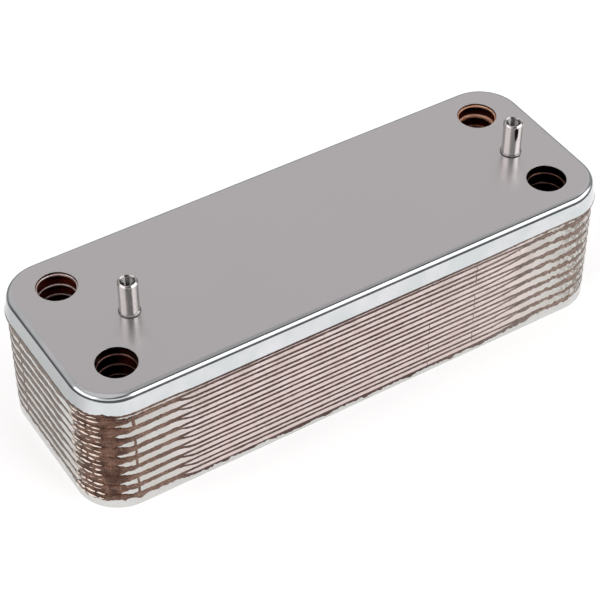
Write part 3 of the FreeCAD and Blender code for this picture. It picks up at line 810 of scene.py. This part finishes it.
def stud(side):
    """A hollow post with softened edges and a cut thread in its bore."""
    low, high = (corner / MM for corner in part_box(f"stud_{side}"))
    centre = ((low.x + high.x) / 2, (low.y + high.y) / 2)
    radius, chamfer = STUD_RADIUS, STUD_CHAMFER
    bore = mounts[f"stud_thread_{side}"]["dims"]["r_mm"]
    top, floor = high.z, high.z - BORE_DEPTH
    turn = full_turn(64)
    profile = (
        (radius, low.z),
        (radius, low.z + 0.3),
        (radius, low.z + 7.0),
        (radius, top - chamfer - 0.3),
        (radius, top - chamfer - 0.06),
        (radius - 0.05, top - chamfer + 0.03),
        (radius - 0.15, top - chamfer + 0.13),
        (radius - chamfer + 0.15, top - 0.16),
        (radius - chamfer + 0.05, top - 0.06),
        (radius - chamfer - 0.03, top),
        (bore + chamfer + 0.03, top),
        (bore + chamfer - 0.05, top - 0.07),
        (bore + 0.1, top - chamfer + 0.1),
    )
    rings = [ring_at(centre, r, z, turn) for r, z in profile]
    for z in np.arange(top - chamfer - 0.05, floor + 0.3, -THREAD_STEP):
        phase = ((top - z) / THREAD_PITCH + turn / (2 * math.pi)) % 1.0
        groove = np.clip(1.35 * (1 - np.abs(2 * phase - 1)) - 0.2, 0, 1)
        fade = float(smooth_step(top - chamfer - z, 0.0, 0.3))
        rings.append(ring_at(centre, bore + THREAD_DEPTH * fade * groove, z, turn))
    rings.append(ring_at(centre, bore, floor + 0.05, turn))
    rings.append(ring_at(centre, bore * 0.5, floor, turn))
    turned_piece(f"stud_{side}_post", f"stud_{side}", rings, STUD)


def weld_bead(side, seed):
    """The fillet of weld metal at a post's foot, a little uneven round the ring."""
    low, high = (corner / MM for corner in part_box(f"stud_weld_{side}"))
    centre = ((low.x + high.x) / 2, (low.y + high.y) / 2)
    outer = (high.x - low.x) / 2
    height = high.z - low.z
    turn = full_turn(72)
    uneven = wander(seed, turn, 2 * math.pi, 0.7)
    lumpy = wander(seed + 1, turn, 2 * math.pi, 0.35)
    rim = outer - 0.12 + 0.1 * uneven
    crown = height * (0.9 + 0.08 * lumpy)
    rings = [
        ring_at(centre, STUD_RADIUS - 0.05, low.z + 0.01, turn),
        ring_at(centre, rim - 0.30, low.z + 0.01, turn),
        ring_at(centre, rim - 0.26, low.z + 0.12, turn),
        ring_at(centre, rim + 0.02, low.z + 0.24, turn),
        ring_at(centre, rim, low.z + crown * 0.45, turn),
        ring_at(centre, rim - 0.12, low.z + crown * 0.75, turn),
        ring_at(centre, rim - 0.3, low.z + crown * 0.93, turn),
        ring_at(centre, STUD_RADIUS - 0.01, low.z + crown, turn),
        ring_at(centre, STUD_RADIUS - 0.1, low.z + crown * 0.9, turn),
    ]
    turned_piece(f"stud_{side}_weld_bead", f"stud_weld_{side}", rings, WELD, closed=True)


for index, side in enumerate(("left", "right")):
    stud(side)
    weld_bead(side, 9000 + 10 * index)


# ---------------------------------------------------------------- floor, light and camera


FLOOR_RADIUS = 380.0
FLOOR_LEVEL = -0.02
CLEAR_MARGIN = 5.0  # how far inside the block's outline the floor is clear


def floor_white():
    """Pale paper that fades out away from the block.

    It is clear from below and under the block, so that the underside can be looked at.
    """
    material = bpy.data.materials.new("floor_white")
    material.use_nodes = True
    shader = Shader(material.node_tree)
    matt = shader.node("ShaderNodeBsdfDiffuse")
    place = shader.node("ShaderNodeTexCoord").outputs["Object"]
    mottle = shader.noise(place, 6.0, 3.0)
    shader.feed(matt.inputs["Color"], shader.mix(mottle, (0.86, 0.86, 0.86), (0.83, 0.83, 0.83)))
    glow = shader.node("ShaderNodeEmission")
    glow.inputs["Strength"].default_value = 0.49
    paper = shader.node("ShaderNodeAddShader")
    shader.feed(paper.inputs[0], matt.outputs[0])
    shader.feed(paper.inputs[1], glow.outputs[0])
    clear = shader.node("ShaderNodeBsdfTransparent")
    away = shader.length(shader.stretched(place, (0.5, 1.0, 1.0)))
    fade = shader.ramp_value(away, 0.14, 0.19)
    inside = [
        shader.math("LESS_THAN", shader.math("ABSOLUTE", part), (half - CLEAR_MARGIN) * MM)
        for part, half in zip(shader.parts(place)[:2], (HALF_LENGTH, HALF_WIDTH))
    ]
    covered = shader.math("MULTIPLY", *inside)
    underneath = shader.node("ShaderNodeNewGeometry").outputs["Backfacing"]
    gone = shader.math("MAXIMUM", shader.math("MAXIMUM", underneath, fade), covered)
    either = shader.node("ShaderNodeMixShader")
    shader.feed(either.inputs[0], gone)
    shader.feed(either.inputs[1], paper.outputs[0])
    shader.feed(either.inputs[2], clear.outputs[0])
    output = shader.node("ShaderNodeOutputMaterial")
    shader.feed(output.inputs["Surface"], either.outputs[0])
    return material


def floor_disc():
    """A round floor, with smaller faces near the block."""
    rings, around = 24, 96
    turn = full_turn(around)
    points = [(0.0, 0.0, FLOOR_LEVEL)]
    for number in range(1, rings + 1):
        radius = FLOOR_RADIUS * (number / rings) ** 1.5
        points += [(radius * math.cos(t), radius * math.sin(t), FLOOR_LEVEL) for t in turn]
    faces = [(0, 1 + i, 1 + (i + 1) % around) for i in range(around)]
    for number in range(rings - 1):
        base = 1 + number * around
        for i in range(around):
            j = (i + 1) % around
            faces.append((base + i, base + around + i, base + around + j, base + j))
    mesh = bpy.data.meshes.new("floor")
    mesh.from_pydata((np.array(points) * MM).tolist(), [], faces)
    floor = bpy.data.objects.new("floor", mesh)
    bpy.context.scene.collection.objects.link(floor)
    mesh.materials.append(floor_white())


def studio():
    """The room as a sky. Only reflections and light come from it; the camera sees plain white.

    A grey wall stands behind, with soft boxes at the right, at the left, at the near corner and overhead.
    Weak light comes from the rear and from below. Each is a part of the sky, given by limits along a few
    directions.
    """
    world = bpy.data.worlds.new("studio")
    bpy.context.scene.world = world
    world.use_nodes = True
    shader = Shader(world.node_tree)
    direction = shader.node("ShaderNodeTexCoord").outputs["Generated"]
    height = shader.parts(direction)[2]

    def beyond(vector, low, high):
        """0 to 1 as the direction's share along a vector goes from low to high."""
        dot = shader.node("ShaderNodeVectorMath", operation="DOT_PRODUCT")
        shader.feed(dot.inputs[0], direction)
        dot.inputs[1].default_value = vector
        return shader.ramp_value(dot.outputs["Value"], low, high)

    def every(*masks):
        """Where all the masks meet."""
        total = masks[0]
        for mask in masks[1:]:
            total = shader.math("MULTIPLY", total, mask)
        return total

    wall = every(
        beyond((-0.5, 1, 0.6), 0.10, 0.20),
        beyond((0, 0, 1), 0.2, 0.28),
        beyond((1, 0, 0), -0.82, -0.74),
    )
    right_box = every(
        beyond((0.5, -1, -2), -0.78, -0.70),
        beyond((0.5, -1, 0), 0.46, 0.56),
        beyond((0, 0, 1), 0.10, 0.20),
        beyond((1, 0, 0), 0.14, 0.24),
    )
    right_box = shader.math("MULTIPLY", right_box, shader.ramp_value(height, 0.28, 0.40, 0.45, 1.0))
    left_box = every(
        beyond((-1, 0, 0), 0.5, 0.58),
        beyond((0, 0, 1), 0.27, 0.35),
        beyond((0, 0, -1), -0.78, -0.7),
        beyond((0, -1, 0), -0.52, -0.44),
        beyond((0, 1, 0), -0.40, -0.28),
    )
    corner_strip = every(
        beyond((-1, 0, 0), -0.25, -0.15),
        beyond((0, -1, 0), 0.2, 0.3),
        beyond((0, 0, 1), 0.26, 0.34),
        beyond((0, 0, -1), -0.64, -0.56),
    )
    top_box = every(beyond((0, 0, 1), 0.82, 0.88), beyond((-1, 0, 0), -0.22, -0.12))
    rear = every(
        beyond((0, 1, 0), -0.3, 0.0),
        beyond((1, 0, 0), -0.8, -0.5),
        beyond((0, 0, -1), -0.85, -0.7),
    )
    below = beyond((0, 0, -1), 0.38, 0.46)
    strengths = (
        (wall, 0.34),
        (rear, 0.18),
        (corner_strip, 0.9),
        (below, 0.8),
        (right_box, 2.3),
        (left_box, 1.4),
        (top_box, 0.3),
    )
    light = 0.13
    for mask, strength in strengths:
        light = shader.math("ADD", light, shader.math("MULTIPLY", mask, strength))
    seen = shader.node("ShaderNodeLightPath").outputs["Is Camera Ray"]
    tinted = shader.mix(wall, (1.0, 1.0, 1.0), (1.0, 0.97, 0.975))
    glow = shader.node("ShaderNodeBackground")
    shader.feed(glow.inputs["Color"], tinted)
    shader.feed(glow.inputs["Strength"], light)
    plain = shader.node("ShaderNodeBackground")
    plain.inputs["Color"].default_value = (1.0, 1.0, 1.0, 1.0)
    either = shader.node("ShaderNodeMixShader")
    shader.feed(either.inputs[0], seen)
    shader.feed(either.inputs[1], glow.outputs[0])
    shader.feed(either.inputs[2], plain.outputs[0])
    output = shader.node("ShaderNodeOutputWorld")
    shader.feed(output.inputs["Surface"], either.outputs[0])


def camera():
    """A long lens, looking down on the front left corner from about 0.7 m."""
    azimuth, elevation = math.radians(-32.06), math.radians(43.57)
    target = Vector((-6.3, -4.45, 26.0)) * MM
    distance = 0.700
    flat = math.cos(elevation)
    back = Vector((math.sin(azimuth) * flat, -math.cos(azimuth) * flat, math.sin(elevation)))
    data = bpy.data.cameras.new("camera")
    data.sensor_width = 36.0
    data.lens = 120.2
    data.clip_start, data.clip_end = 0.01, 20.0
    made = bpy.data.objects.new("camera", data)
    made.location = target + back * distance
    made.rotation_mode = "QUATERNION"
    made.rotation_quaternion = (-back).to_track_quat("-Z", "Y")
    bpy.context.scene.collection.objects.link(made)
    bpy.context.scene.camera = made


floor_disc()
studio()
camera()
bpy.context.scene.view_settings.view_transform = "Standard"
